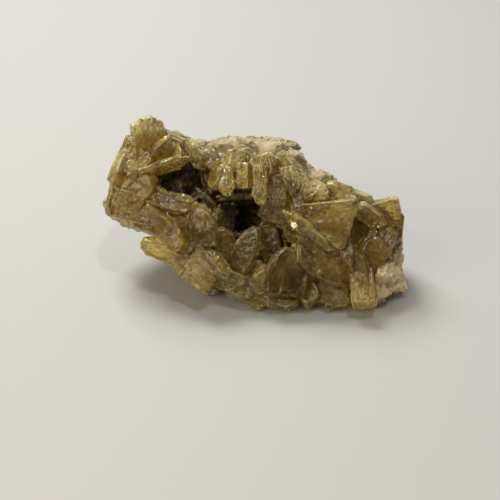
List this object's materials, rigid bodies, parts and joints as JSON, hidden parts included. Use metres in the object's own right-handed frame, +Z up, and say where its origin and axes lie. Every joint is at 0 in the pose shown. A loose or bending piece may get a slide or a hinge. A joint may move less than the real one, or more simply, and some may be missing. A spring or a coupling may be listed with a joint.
{
  "type": "barite specimen",
  "caption": "Hand-sized mineral specimen: honey-brown barite tablets and prisms grown together on a pale host rock, round a deep hollow lined with smaller crystals",
  "frame": {"origin": "middle of the bounding box, on the resting plane", "axes": "+X along the specimen from its high left end to its right end, +Y away from the side that the crystal face looks to, +Z up"},
  "size_m": [0.1028, 0.0606, 0.0523],
  "materials": {
    "rock": "rough broken rock, pale grey to cream",
    "barite": "glassy translucent crystal, honey to brown",
    "hollow_barite": "glassy translucent crystal, smoky brown"
  },
  "bodies": {
    "root": {"host_rock": "rock", "barite_crystals": "barite", "hollow_crystals": "hollow_barite"}
  },
  "joints": []
}
